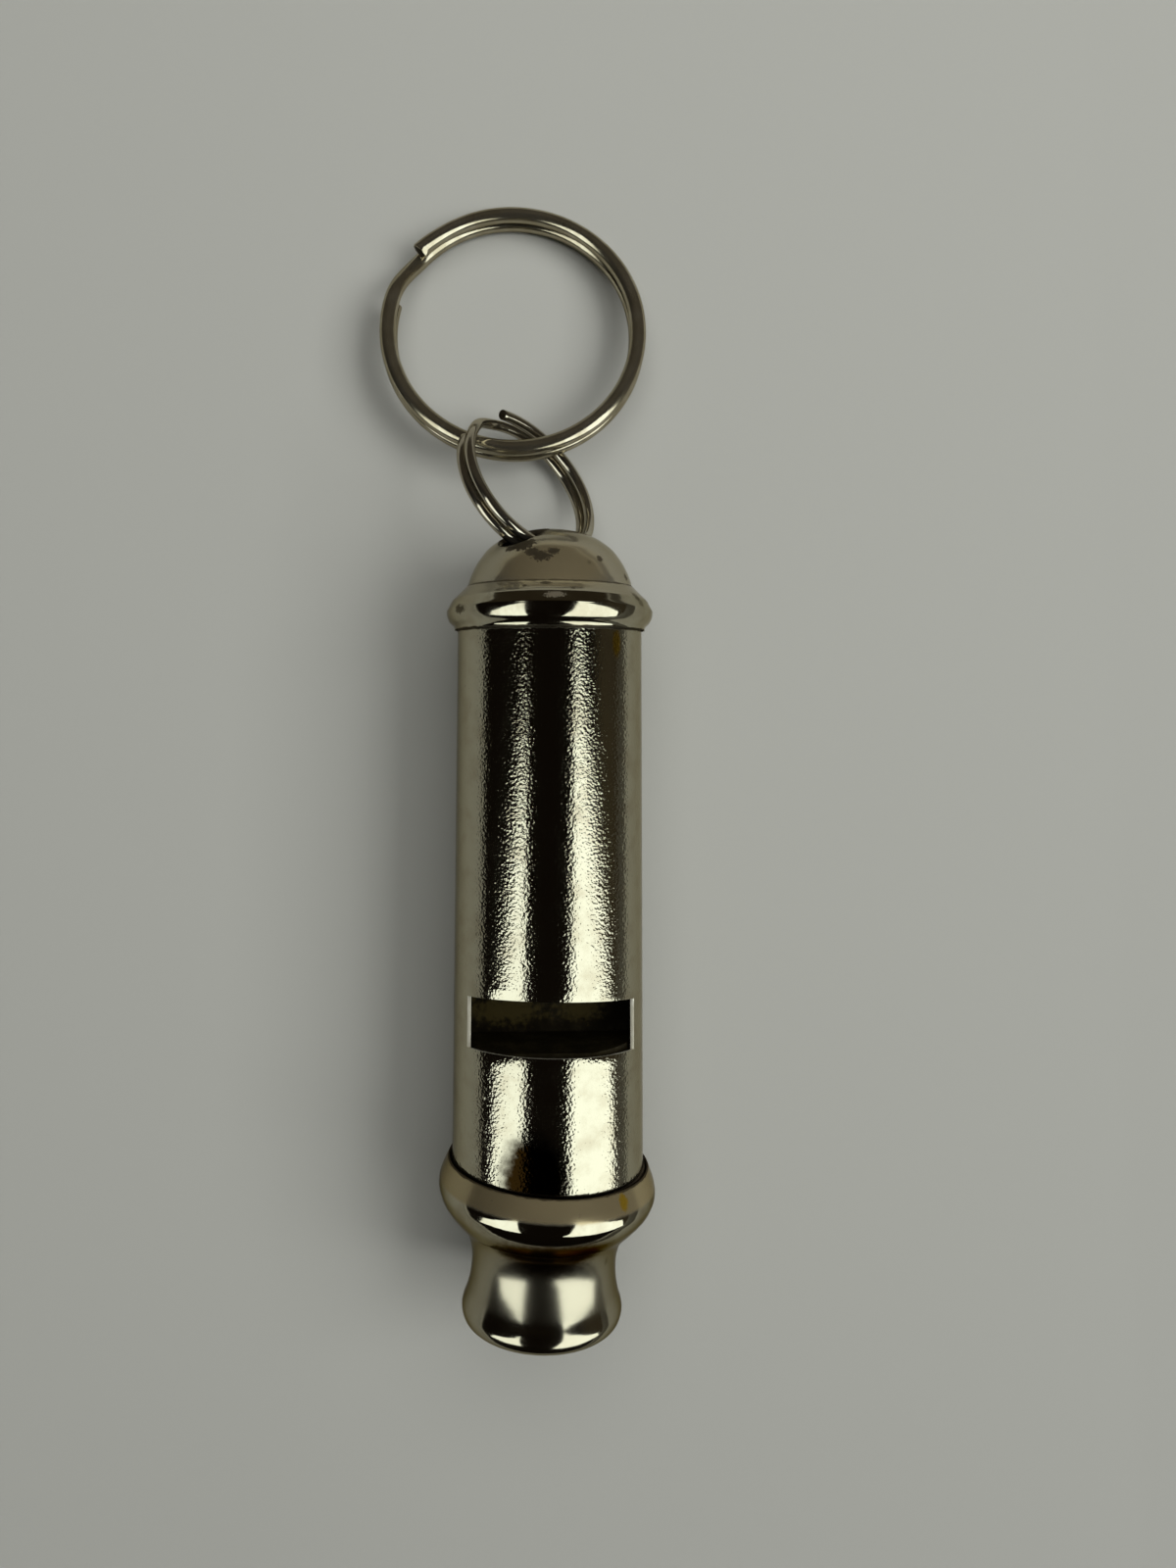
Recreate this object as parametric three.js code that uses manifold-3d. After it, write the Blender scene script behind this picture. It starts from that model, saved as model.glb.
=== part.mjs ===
// Police whistle: a two-note tube whistle with a split ring through its dome and a key ring on that.
// Millimetres, +Z up. The whistle lies along Y, cap towards +Y, with one sound window facing up.
import * as THREE from 'three';
import { mergeVertices } from 'three/addons/utils/BufferGeometryUtils.js';
import Module from 'manifold-3d';

// Barrel: a drawn tube whose ends sit inside the cap and the mouthpiece
const BARREL_DIAMETER = 15.9;
const BARREL_WALL = 0.5;
const BARREL_LENGTH = 49;
const CAP_OVERLAP = 2.5;
const MOUTHPIECE_OVERLAP = 2.5;

// Sound windows: straight saw cuts across the front and the back
const WINDOW_HEIGHT = 4.3;
const WINDOW_DEPTH = 3.75;
const WINDOW_ABOVE_MOUTHPIECE = 10.3;

// Inside the barrel: two chambers of different length, each fed by its own windway and closed by a stop
const DIVIDER_THICKNESS = 0.6;
const FRONT_STOP_RECESS = 8.3;
const REAR_STOP_RECESS = 2.3;
const STOP_THICKNESS = 0.6;
const WINDWAY_DEPTH = 0.9;
const INNER_CLEARANCE = 0.1;

// Solder between the barrel and the two end pieces
const SOLDER_THICKNESS = 0.1;
const SOLDER_CLEARANCE = 0.03;
const SOLDER_RECESS = 0.45;

// Cap: a rolled bead and a dome
const CAP_RIM = 0.1;
const CAP_BEAD_PROUD = 1.05;
const CAP_CREST = 1.75;
const CAP_BEAD_HEIGHT = 3.75;
const CAP_WALL = 0.5;
const DOME_SETBACK = 1.0;
const DOME_HEIGHT = 5.1;

// Mouthpiece: a bead, a waist and a rounded lip, soldered on slightly askew
const MOUTHPIECE_LENGTH = 12.6;
const MOUTHPIECE_RIM = 0.12;
const MOUTHPIECE_BEAD_PROUD = 1.05;
const MOUTHPIECE_CREST = 2.5;
const MOUTH_BORE = 10;
const NECK_WALL = 0.95;
const NECK_FROM_END = 4.7;
const LIP_FLARE = 0.65;
const LIP_ROUNDING = 1.05;
const LIP_FLAT = 0.9;
const MOUTHPIECE_SKEW_DEGREES = -2.4;

// Split ring through two holes in the dome
const HOLE_SPREAD = 3.5;
const HOLE_CLEARANCE = 1.1;
const RING_SINK = 0.6;
const HOLE_ROLL_DEGREES = -43.6;
const SMALL_RING = { diameter: 14.6, wire: 0.8, turnGap: 0.42, startDegrees: 3, joggleDegrees: 30 };
const SMALL_RING_SWING_DEGREES = -26.8;

// Key ring, lying with its far edge on the table and its near edge over the split ring
const KEY_RING = { diameter: 25, wire: 1.5, turnGap: 0.42, startDegrees: 142, joggleDegrees: 26 };
const KEY_RING_SLACK = 2.4;
const KEY_RING_SIDE_OFFSET = -3.4;
const RING_CLEARANCE = 0.3;

// Fineness of the faceted solids
const ROUND_SEGMENTS = 48;
const CURVE_STEPS = 5;
const HOLE_SEGMENTS = 24;
const LOOP_STEPS = 24;
const WIRE_SIDES = 6;
const CUT_MARGIN = 1;

// Places along the whistle's axis, measured from the cap's rim
const barrelRadius = BARREL_DIAMETER / 2;
const boreRadius = barrelRadius - BARREL_WALL;
const barrelTop = CAP_OVERLAP;
const barrelBottom = barrelTop - BARREL_LENGTH;
const mouthpieceRimY = barrelBottom + MOUTHPIECE_OVERLAP;
const windowBottom = mouthpieceRimY + WINDOW_ABOVE_MOUTHPIECE;
const windowTop = windowBottom + WINDOW_HEIGHT;
const axisHeight = barrelRadius + Math.max(CAP_BEAD_PROUD, MOUTHPIECE_BEAD_PROUD);

// Sockets leave room for the solder, and the mouthpiece's also for its skew
const skew = THREE.MathUtils.degToRad(MOUTHPIECE_SKEW_DEGREES);
const solderInner = barrelRadius + SOLDER_CLEARANCE;
const solderOuter = solderInner + SOLDER_THICKNESS;
const capSocketRadius = solderOuter + SOLDER_CLEARANCE;
const skewRoom = Math.sin(Math.abs(skew)) * MOUTHPIECE_OVERLAP;
const mouthpieceSocketRadius = solderOuter + SOLDER_CLEARANCE + skewRoom;
const mouthpieceSeatGap = Math.sin(Math.abs(skew)) * mouthpieceSocketRadius + INNER_CLEARANCE;

const wasm = await Module();
wasm.setup();

const plate = (color, roughness) => new THREE.MeshStandardMaterial({ color, roughness, metalness: 1 });
const polishedNickel = () => plate(0xb8b09c, 0.16);
const satinNickel = () => plate(0xada48f, 0.3);
const ringSteel = () => plate(0xb4aea2, 0.2);
const tarnishedBrass = () => plate(0x6f5c37, 0.55);
const dullSolder = () => plate(0x7a705c, 0.6);

// Keeps positions only, joins shared corners and drops triangles that closed up on the axis.
function welded(geometry) {
  const bare = geometry.clone();
  bare.deleteAttribute('normal');
  bare.deleteAttribute('uv');
  const merged = mergeVertices(bare, 1e-5);
  const index = merged.getIndex().array;
  const kept = [];
  for (let i = 0; i < index.length; i += 3) {
    const [a, b, c] = [index[i], index[i + 1], index[i + 2]];
    if (a !== b && b !== c && c !== a) kept.push(a, b, c);
  }
  merged.setIndex(kept);
  return merged;
}

function toSolid(geometry) {
  const clean = welded(geometry);
  const vertProperties = new Float32Array(clean.getAttribute('position').array);
  const triVerts = new Uint32Array(clean.getIndex().array);
  return new wasm.Manifold(new wasm.Mesh({ numProp: 3, vertProperties, triVerts }));
}

function toGeometry(solid) {
  const mesh = solid.getMesh();
  const geometry = new THREE.BufferGeometry();
  geometry.setAttribute('position', new THREE.BufferAttribute(mesh.vertProperties, 3));
  geometry.setIndex(Array.from(mesh.triVerts));
  return geometry;
}

function cut(geometry, ...tools) {
  let solid = toSolid(geometry);
  for (const tool of tools) solid = solid.subtract(toSolid(tool));
  return toGeometry(solid);
}

function named(name, geometry, material) {
  geometry.computeVertexNormals();
  const mesh = new THREE.Mesh(geometry, material);
  mesh.name = name;
  return mesh;
}

// A turned piece. Its faces point outwards when the profile runs anticlockwise, up the outside.
function turned(profile) {
  const points = profile.getPoints(CURVE_STEPS);
  if (THREE.ShapeUtils.area(points) < 0) points.reverse();
  return welded(new THREE.LatheGeometry(points, ROUND_SEGMENTS));
}

function ringBand(inner, outer, low, high) {
  const profile = new THREE.Path();
  profile.moveTo(inner, low);
  profile.lineTo(inner, high);
  profile.lineTo(outer, high);
  profile.lineTo(outer, low);
  profile.lineTo(inner, low);
  return turned(profile);
}

function barrel() {
  const tube = ringBand(boreRadius, barrelRadius, barrelBottom, barrelTop);
  const cutLevel = barrelRadius - WINDOW_DEPTH;
  const cutHeight = WINDOW_DEPTH + CUT_MARGIN;
  const windows = [1, -1].map((side) => {
    const block = new THREE.BoxGeometry(BARREL_DIAMETER + CUT_MARGIN, WINDOW_HEIGHT, cutHeight);
    return block.translate(0, (windowTop + windowBottom) / 2, side * (cutLevel + cutHeight / 2));
  });
  return cut(tube, ...windows);
}

const domeRadius = barrelRadius - DOME_SETBACK;
const domeInnerRadius = domeRadius - CAP_WALL;
const domeInnerHeight = DOME_HEIGHT - CAP_WALL;
const domeBase = CAP_BEAD_HEIGHT;

// The ring turns about the line through both holes, a little below the dome's outer surface.
const holeRoll = THREE.MathUtils.degToRad(HOLE_ROLL_DEGREES);
const holeAxis = new THREE.Vector3(Math.sin(holeRoll), 0, Math.cos(holeRoll));
const holeY = domeBase + DOME_HEIGHT * Math.sqrt(1 - (HOLE_SPREAD / domeRadius) ** 2) - RING_SINK;
const holeDiameter = 2 * SMALL_RING.wire + SMALL_RING.turnGap + 2 * HOLE_CLEARANCE;

function topCap() {
  const crestRadius = barrelRadius + CAP_BEAD_PROUD;
  const socketTop = CAP_OVERLAP + INNER_CLEARANCE;
  const rimRadius = capSocketRadius + CAP_RIM;
  const profile = new THREE.Path();
  profile.moveTo(0, domeBase + domeInnerHeight);
  profile.absellipse(0, domeBase, domeInnerRadius, domeInnerHeight, Math.PI / 2, 0, true);
  profile.lineTo(domeInnerRadius, socketTop);
  profile.lineTo(capSocketRadius, socketTop);
  profile.lineTo(capSocketRadius, 0);
  profile.lineTo(rimRadius, 0);
  profile.bezierCurveTo(rimRadius, CAP_CREST / 3, crestRadius, CAP_CREST / 2, crestRadius, CAP_CREST);
  const shoulder = CAP_BEAD_HEIGHT - CAP_CREST;
  profile.bezierCurveTo(
    crestRadius, CAP_CREST + shoulder / 2,
    (crestRadius + domeRadius) / 2, CAP_BEAD_HEIGHT - shoulder / 10,
    domeRadius, CAP_BEAD_HEIGHT,
  );
  profile.absellipse(0, domeBase, domeRadius, DOME_HEIGHT, 0, Math.PI / 2, false);
  const holes = [1, -1].map((side) => {
    const drill = new THREE.CylinderGeometry(
      holeDiameter / 2, holeDiameter / 2, DOME_HEIGHT, HOLE_SEGMENTS);
    const place = holeAxis.clone().multiplyScalar(side * HOLE_SPREAD);
    return drill.translate(place.x, holeY, place.z);
  });
  return cut(turned(profile), ...holes);
}

// Heights in the mouthpiece's own frame, whose origin is the middle of its socket.
const mouthpieceCentreY = mouthpieceRimY - MOUTHPIECE_OVERLAP / 2;
const mouthRadius = MOUTH_BORE / 2;
const neckRadius = mouthRadius + NECK_WALL;
const lipRadius = neckRadius + LIP_FLARE;

function mouthpiece() {
  const rim = MOUTHPIECE_OVERLAP / 2;
  const seat = -rim - mouthpieceSeatGap;
  const end = rim - MOUTHPIECE_LENGTH;
  const neck = end + NECK_FROM_END;
  const crest = rim - MOUTHPIECE_CREST;
  const lipCrest = end + LIP_ROUNDING;
  const crestRadius = barrelRadius + MOUTHPIECE_BEAD_PROUD;
  const rimRadius = mouthpieceSocketRadius + MOUTHPIECE_RIM;
  const throat = (seat + neck) / 2;
  const waist = (crest + neck) / 2;
  const flare = (neck + lipCrest) / 2;
  const profile = new THREE.Path();
  profile.moveTo(mouthRadius, end);
  profile.lineTo(mouthRadius, neck);
  profile.bezierCurveTo(mouthRadius, throat, boreRadius, throat, boreRadius, seat);
  profile.lineTo(mouthpieceSocketRadius, seat);
  profile.lineTo(mouthpieceSocketRadius, rim);
  profile.lineTo(rimRadius, rim);
  profile.bezierCurveTo(rimRadius, (rim * 2 + crest) / 3, crestRadius, (rim + crest) / 2, crestRadius, crest);
  profile.bezierCurveTo(crestRadius, waist, neckRadius, waist, neckRadius, neck);
  profile.bezierCurveTo(neckRadius, flare, lipRadius, flare, lipRadius, lipCrest);
  profile.bezierCurveTo(
    lipRadius, (lipCrest + end) / 2, (lipRadius + mouthRadius + LIP_FLAT) / 2, end, mouthRadius + LIP_FLAT, end);
  profile.lineTo(mouthRadius, end);
  return turned(profile);
}

// Flat pieces inside the barrel: a segment of the bore, from just above the divider up to a chord.
const innerRadius = boreRadius - INNER_CLEARANCE;
const dividerFace = DIVIDER_THICKNESS / 2 + INNER_CLEARANCE;

function boreSegment(top, low, high) {
  const right = Math.asin(dividerFace / innerRadius);
  const topRight = Math.asin(Math.min(top / innerRadius, 1));
  const outline = new THREE.Shape();
  outline.moveTo(innerRadius * Math.cos(right), dividerFace);
  outline.absarc(0, 0, innerRadius, right, topRight, false);
  outline.absarc(0, 0, innerRadius, Math.PI - topRight, Math.PI - right, false);
  outline.closePath();
  const options = { depth: high - low, bevelEnabled: false, curveSegments: ROUND_SEGMENTS / 4 };
  const slab = new THREE.ExtrudeGeometry(outline, options);
  return slab.rotateX(Math.PI / 2).translate(0, high, 0);
}

function dividerPlate() {
  const length = BARREL_LENGTH - 2 * INNER_CLEARANCE;
  const plateGeometry = new THREE.BoxGeometry(2 * innerRadius, length, DIVIDER_THICKNESS);
  return plateGeometry.translate(0, (barrelTop + barrelBottom) / 2, 0);
}

function windwayBlock() {
  return boreSegment(boreRadius - WINDWAY_DEPTH, barrelBottom + INNER_CLEARANCE, windowBottom);
}

// A stop is set into the barrel by its recess, measured from the barrel's top end.
function chamberStop(recess) {
  const top = barrelTop - recess;
  return boreSegment(innerRadius, top - STOP_THICKNESS, top);
}

// The centreline of a split ring: one turn, a joggle down and a second turn under the first.
function splitRingPath(ring) {
  const meanRadius = (ring.diameter - ring.wire) / 2;
  const rise = ring.wire + ring.turnGap;
  const fullTurn = 2 * Math.PI;
  const joggle = THREE.MathUtils.degToRad(ring.joggleDegrees);
  const start = THREE.MathUtils.degToRad(ring.startDegrees);
  const total = 2 * fullTurn - joggle;
  const steps = Math.round(LOOP_STEPS * total / fullTurn);
  return Array.from({ length: steps + 1 }, (_, step) => {
    const travelled = total * step / steps;
    const fall = THREE.MathUtils.smoothstep(travelled, fullTurn - joggle, fullTurn);
    const angle = start - travelled;
    return new THREE.Vector3(
      meanRadius * Math.cos(angle), meanRadius * Math.sin(angle), rise * (0.5 - fall));
  });
}

function leastGap(path, wire) {
  const apart = LOOP_STEPS / 4;
  let least = Infinity;
  for (let i = 0; i < path.length; i++) {
    for (let j = i + apart; j < path.length; j++) {
      least = Math.min(least, path[i].distanceTo(path[j]) - wire);
    }
  }
  return least;
}

// One unbroken wire along the centreline, with a flat cap at each end.
function splitRing(name, ring) {
  const path = splitRingPath(ring);
  console.log(`${name}: least gap between turns ${leastGap(path, ring.wire).toFixed(2)} mm`);
  const positions = [];
  const index = [];
  for (const point of path) {
    const outward = new THREE.Vector3(point.x, point.y, 0).normalize();
    for (let side = 0; side < WIRE_SIDES; side++) {
      const angle = Math.PI / 2 + 2 * Math.PI * side / WIRE_SIDES;
      const corner = point.clone().addScaledVector(outward, ring.wire / 2 * Math.cos(angle));
      positions.push(corner.x, corner.y, corner.z + ring.wire / 2 * Math.sin(angle));
    }
  }
  for (let step = 0; step < path.length - 1; step++) {
    for (let side = 0; side < WIRE_SIDES; side++) {
      const a = step * WIRE_SIDES + side;
      const b = step * WIRE_SIDES + (side + 1) % WIRE_SIDES;
      index.push(a, b, a + WIRE_SIDES, b, b + WIRE_SIDES, a + WIRE_SIDES);
    }
  }
  const last = (path.length - 1) * WIRE_SIDES;
  for (let side = 1; side < WIRE_SIDES - 1; side++) {
    index.push(0, side + 1, side);
    index.push(last, last + side, last + side + 1);
  }
  const geometry = new THREE.BufferGeometry();
  geometry.setAttribute('position', new THREE.Float32BufferAttribute(positions, 3));
  geometry.setIndex(index);
  return named(name, geometry, ringSteel());
}

// The split ring hangs on the line through the two holes and swings about it.
const holeMiddle = new THREE.Vector3(0, holeY, axisHeight);
const smallRingRadius = (SMALL_RING.diameter - SMALL_RING.wire) / 2;
const swing = THREE.MathUtils.degToRad(SMALL_RING_SWING_DEGREES);
const ringOut = new THREE.Vector3(0, Math.cos(swing), 0);
ringOut.addScaledVector(new THREE.Vector3(holeAxis.z, 0, -holeAxis.x), Math.sin(swing));
const ringNormal = ringOut.clone().cross(holeAxis);
const smallRingCentre = holeMiddle.clone();
smallRingCentre.addScaledVector(ringOut, Math.sqrt(smallRingRadius ** 2 - HOLE_SPREAD ** 2));

// The key ring rests on the lower strand of the split ring, so its near edge is tilted up.
const keyRingRadius = (KEY_RING.diameter - KEY_RING.wire) / 2;
const keyRingNearY = smallRingCentre.y + smallRingRadius * ringOut.y - KEY_RING_SLACK;
const crossing = Math.acos((keyRingNearY - smallRingCentre.y) / (smallRingRadius * ringOut.y));
const strandHeight = smallRingCentre.z
  + smallRingRadius * (Math.cos(crossing) * ringOut.z - Math.sin(crossing) * holeAxis.z);
const strandTop = strandHeight
  + (SMALL_RING.wire + SMALL_RING.turnGap) / 2 * ringNormal.z + SMALL_RING.wire / 2;
const keyRingTilt = Math.asin((strandTop + RING_CLEARANCE) / (KEY_RING.diameter - KEY_RING.wire));
const keyRingStack = KEY_RING.wire + KEY_RING.turnGap / 2;

function smallSplitRing() {
  const group = new THREE.Group();
  group.position.copy(smallRingCentre);
  group.setRotationFromMatrix(new THREE.Matrix4().makeBasis(ringOut, holeAxis, ringNormal));
  group.add(splitRing('small_split_ring', SMALL_RING));
  return group;
}

function keyRing() {
  const group = new THREE.Group();
  const height = KEY_RING.diameter / 2 * Math.sin(keyRingTilt) + keyRingStack * Math.cos(keyRingTilt);
  group.position.set(KEY_RING_SIDE_OFFSET, keyRingNearY + keyRingRadius * Math.cos(keyRingTilt), height);
  group.rotation.x = -keyRingTilt;
  group.add(splitRing('key_ring', KEY_RING));
  return group;
}

function mouthpieceGroup() {
  const group = new THREE.Group();
  group.position.y = mouthpieceCentreY;
  group.rotation.z = skew;
  group.add(named('mouthpiece', mouthpiece(), polishedNickel()));
  return group;
}

function solderRing(name, low, high) {
  return named(name, ringBand(solderInner, solderOuter, low, high), dullSolder());
}

function rearHalf(mesh) {
  mesh.rotation.y = Math.PI;
  return mesh;
}

function whistle() {
  const group = new THREE.Group();
  group.position.z = axisHeight;
  group.add(named('barrel', barrel(), satinNickel()));
  group.add(named('top_cap', topCap(), polishedNickel()));
  group.add(mouthpieceGroup());
  group.add(named('divider_plate', dividerPlate(), tarnishedBrass()));
  group.add(named('front_windway_block', windwayBlock(), tarnishedBrass()));
  group.add(rearHalf(named('rear_windway_block', windwayBlock(), tarnishedBrass())));
  group.add(named('front_chamber_stop', chamberStop(FRONT_STOP_RECESS), tarnishedBrass()));
  group.add(rearHalf(named('rear_chamber_stop', chamberStop(REAR_STOP_RECESS), tarnishedBrass())));
  group.add(solderRing('cap_solder', SOLDER_RECESS, CAP_OVERLAP));
  group.add(solderRing('mouthpiece_solder', barrelBottom, mouthpieceRimY - SOLDER_RECESS));
  return group;
}

const policeWhistle = new THREE.Group();
policeWhistle.name = 'police_whistle';
policeWhistle.add(whistle(), smallSplitRing(), keyRing());

// The origin is on the table, under the middle of the whole object.
policeWhistle.updateMatrixWorld(true);
const extent = new THREE.Box3().setFromObject(policeWhistle, true);
const middle = extent.getCenter(new THREE.Vector3());
policeWhistle.position.set(-middle.x, -middle.y, -extent.min.z);
policeWhistle.updateMatrixWorld(true);

export default policeWhistle;
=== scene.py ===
import math
from collections import namedtuple
import bmesh
import bpy
from mathutils import Matrix, Vector
from mathutils.geometry import interpolate_bezier


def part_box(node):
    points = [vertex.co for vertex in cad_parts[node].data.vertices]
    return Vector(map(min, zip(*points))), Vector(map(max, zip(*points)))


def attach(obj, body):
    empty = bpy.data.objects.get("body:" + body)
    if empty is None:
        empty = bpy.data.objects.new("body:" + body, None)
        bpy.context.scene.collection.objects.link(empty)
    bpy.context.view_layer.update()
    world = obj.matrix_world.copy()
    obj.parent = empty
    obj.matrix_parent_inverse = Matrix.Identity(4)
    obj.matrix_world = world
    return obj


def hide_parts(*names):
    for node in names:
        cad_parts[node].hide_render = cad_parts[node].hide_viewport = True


# A tube police whistle in worn nickel plate, lying on its back with its two split rings.
# Lengths are millimetres until a finished mesh is scaled to metres. On the whistle they count
# along the barrel's axis from the cap joint, and outlines are lists of (radius, length).

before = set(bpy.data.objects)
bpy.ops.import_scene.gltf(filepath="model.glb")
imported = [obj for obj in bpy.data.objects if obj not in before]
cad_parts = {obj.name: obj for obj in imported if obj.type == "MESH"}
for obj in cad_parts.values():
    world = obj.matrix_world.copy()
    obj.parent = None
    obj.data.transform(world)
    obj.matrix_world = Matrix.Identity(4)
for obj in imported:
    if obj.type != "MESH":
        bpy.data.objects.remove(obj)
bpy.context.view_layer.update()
MM = 0.001

# Barrel
BARREL_RADIUS = 7.95
BARREL_WALL = 0.24
BARREL_LENGTH = 49.0
BARREL_ROWS = 50

# Which barrel faces count as outside and inside: how they face, and how near the surface they lie
FACING_OUT = 0.95
FACING_IN = -0.8
SKIN = 0.12

# Sound windows, cut nearly straight across the front and the back
WINDOW_LOW = -33.7
WINDOW_HIGH = -29.4
WINDOW_LEVEL = 4.2
WINDOW_CUT_HEIGHT = 6
WINDOW_CUT_SPARE = 1
WINDOW_ROLL = math.radians(2)
WINDOW_YAW = math.radians(-2)
WINDOW_TOP_LEAN = math.radians(8.2)
WINDOW_SILL_LEAN = math.radians(3.7)

# Cap: a rolled bead that leans back, a shoulder above its ledge, and the dome
CAP_OVERLAP = 2.5
CAP_SOCKET_RADIUS = 8.11
CAP_SOCKET_SPARE = 0.1
CAP_WALL = 0.5
CAP_LEDGE = (8.5, 2.4)
DOME_BASE = 3.8
DOME_TOP = 8.85
CAP_BEAD = [
    (8.21, 0.0), (8.235, 0.18), (8.36, 0.36), (8.6, 0.58), (8.78, 0.85), (8.88, 1.15),
    (8.915, 1.42), (8.9, 1.6), (8.7, 2.0), CAP_LEDGE]
CAP_SHOULDER = [CAP_LEDGE, (8.1, 2.83), (7.6, 3.37), (7.2, DOME_BASE)]
DOME = [
    (7.14, DOME_BASE + 0.02), (7.0, 4.35), (6.72, 5.05), (6.4, 5.7), (5.98, 6.34), (5.5, 6.95),
    (4.95, 7.43), (4.25, 7.9), (3.4, 8.3), (2.4, 8.6), (1.2, 8.8), (0.0, DOME_TOP)]
CAP_BEAD_LEAN = math.radians(3)
CAP_FULL_LEAN_FROM = 1.3
CAP_LEAN_OUTSIDE = CAP_SOCKET_RADIUS - 1

# Ring holes in the dome
HOLE_SPREAD = 3.5
HOLE_RADIUS = 2.1
HOLE_ROLL = math.radians(-43.6)
HOLE_EDGES_FROM = DOME_BASE + 1
DRILL_MIDDLE = DOME_TOP - 0.8
DRILL_LENGTH = 6
DRILL_SIDES = 64

# Mouthpiece: a bead, a crease, a waist and a lip, with a bore that widens to the socket
MOUTHPIECE_TOP = -44.0
MOUTHPIECE_PIVOT = -45.25
MOUTHPIECE_SKEW = math.radians(-2.4)
BEAD_LEAN = math.radians(1.6)
WAIST = -52.2
LIP_END = -56.595
MOUTHPIECE_BEAD = [
    (8.335, MOUTHPIECE_TOP), (8.55, -44.5), (8.80, -45.1), (8.95, -45.6), (9.0, -46.05),
    (8.94, -46.55), (8.62, -47.3), (8.05, -48.05), (7.4, -48.75)]
NECK_AND_LIP = [
    (7.12, -48.85), (6.6, -49.55), (6.22, -50.4), (6.0, -51.3), (5.95, WAIST), (6.02, -53.2),
    (6.22, -54.2), (6.52, -55.1), (6.6, -55.6), (6.48, -56.15), (6.22, -56.48),
    (5.9, LIP_END), (5.45, LIP_END)]
MOUTH_RADIUS = 5.0
MOUTHPIECE_SOCKET_RADIUS = 8.215
SOCKET_FLOOR = (7.45, -46.95)
THROAT = [(MOUTH_RADIUS, -51.9), (5.5, -50.8), (6.9, -48.9), (7.45, -47.4), SOCKET_FLOOR]
BORE = [(MOUTH_RADIUS, LIP_END), (MOUTH_RADIUS, -54.2)]

# Split rings: the wire goes once round, steps down over the joggle and goes round again.
# Its first end springs outwards over an angle. Centres and axes are those of the shared frame.
SMALL_RING = dict(
    mean=6.98, wire=0.97, rise=1.06, top=0.53, start=math.radians(3),
    joggle=math.radians(46), sprung=0.45, sprung_over=math.radians(50))
SMALL_RING_CENTRE = (1.38388, 21.12933, 7.08886)
SMALL_RING_AXES = (
    (-0.326513, 0.892586, -0.310934), (-0.689620, 0.0, 0.724172), (0.646386, 0.450878, 0.615545))
KEY_RING = dict(
    mean=11.632, wire=1.5, rise=1.62, top=0.66, start=math.radians(139.3),
    joggle=math.radians(26), sprung=0.2, sprung_over=math.radians(20))
KEY_RING_CENTRE = (-0.009237, 36.366143, 3.270271)
KEY_RING_TILT = math.radians(7.23333)
KEY_RING_AXES = (
    (1, 0, 0),
    (0, math.cos(KEY_RING_TILT), -math.sin(KEY_RING_TILT)),
    (0, math.sin(KEY_RING_TILT), math.cos(KEY_RING_TILT)))

# Rounded edges, and how fine the meshes are
EDGE_ROUNDING = 0.06
WINDOW_EDGE_ROUNDING = 0.085
WIRE_END_ROUNDING = 0.06
SHARP_EDGE = math.radians(40)
SHARP_WIRE_EDGE = math.radians(60)
SHADED_SHARP = math.radians(35)
MERGE_DISTANCE = 1e-4
TURN_STEPS = 192
CURVE_STEPS = 8
WIRE_SIDES = 20
RING_STEPS = 120
JOGGLE_STEPS = 10
WIRE_SIDE_CORNERS = 8

barrel_low, barrel_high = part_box("barrel")
WHISTLE_ORIGIN = Vector((
    (barrel_low.x + barrel_high.x) / 2,
    barrel_high.y - CAP_OVERLAP * MM,
    (barrel_low.z + barrel_high.z) / 2,
))
TO_WHISTLE = Matrix.Translation(WHISTLE_ORIGIN) @ Matrix.Scale(MM, 4)

# Metal colours and marks
NICKEL = (0.41, 0.385, 0.29)
DULL_NICKEL = (0.30, 0.26, 0.18)
FILM = (0.35, 0.32, 0.235)
HAZE = (0.35, 0.29, 0.165)
SCUFFED = (0.22, 0.19, 0.13)
# Painted dark reflection and shade for the mouthpiece's crease
PAINTED_CREASE_REFLECTION = (0.062, 0.037, 0.020)
# Near-black patch on top of the barrel, just above the mouthpiece joint
NEAR_BLACK_PATCH = (0.010, 0.005, 0.001)
FLAKED = (0.065, 0.052, 0.033)
GRIME = (0.030, 0.021, 0.012)
LACQUER_YELLOW = (0.40, 0.255, 0.012)
# Painted pools of lamplight on the divider plate, under the window
PAINTED_LIGHT_POOL = (0.034, 0.026, 0.007)
AGED_BRASS = (0.30, 0.20, 0.075)
GRAZING_TINT = (0.66, 0.62, 0.52)
DULL_GRAZING_TINT = (0.36, 0.32, 0.24)

# Axes that marks run round
WHISTLE_AXIS = (0.0, 1.0, 0.0)
MOUTHPIECE_AXIS = (-math.sin(MOUTHPIECE_SKEW), math.cos(MOUTHPIECE_SKEW), 0.0)
BEAD_TURN = MOUTHPIECE_SKEW - BEAD_LEAN
BEAD_AXIS = (-math.sin(BEAD_TURN), math.cos(BEAD_TURN), 0.0)
CAP_BEAD_AXIS = (0.0, math.cos(CAP_BEAD_LEAN), -math.sin(CAP_BEAD_LEAN))

# Grain, pin holes, turning lines and clouds of the plating
GRAIN_UNIT = 0.00001
COARSE_SCALE = 0.35
COARSE_HEIGHT = 0.2
PIT_SCALE = 0.4
PIT_EDGE = (0.685, 0.745)
LINE_SCALE = 9000.0
LINE_STRETCH = (0.02, 1.0, 0.02)
CLOUD_TOP = 1.1
CLOUD_EDGE = 0.35
PLATE_CLOUD_SCALE = 520.0
PLATE_DULLING = 0.6
PLAIN_CLOUD_SHARE = 0.2
PLAIN_CLOUD_COVER = 0.5

# Ragged edges of marks
RAGGED_REACH = 4.0
RAGS_PER_RADIUS = 3.2
BAND_RAGGED_SCALE = 1500.0

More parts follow.
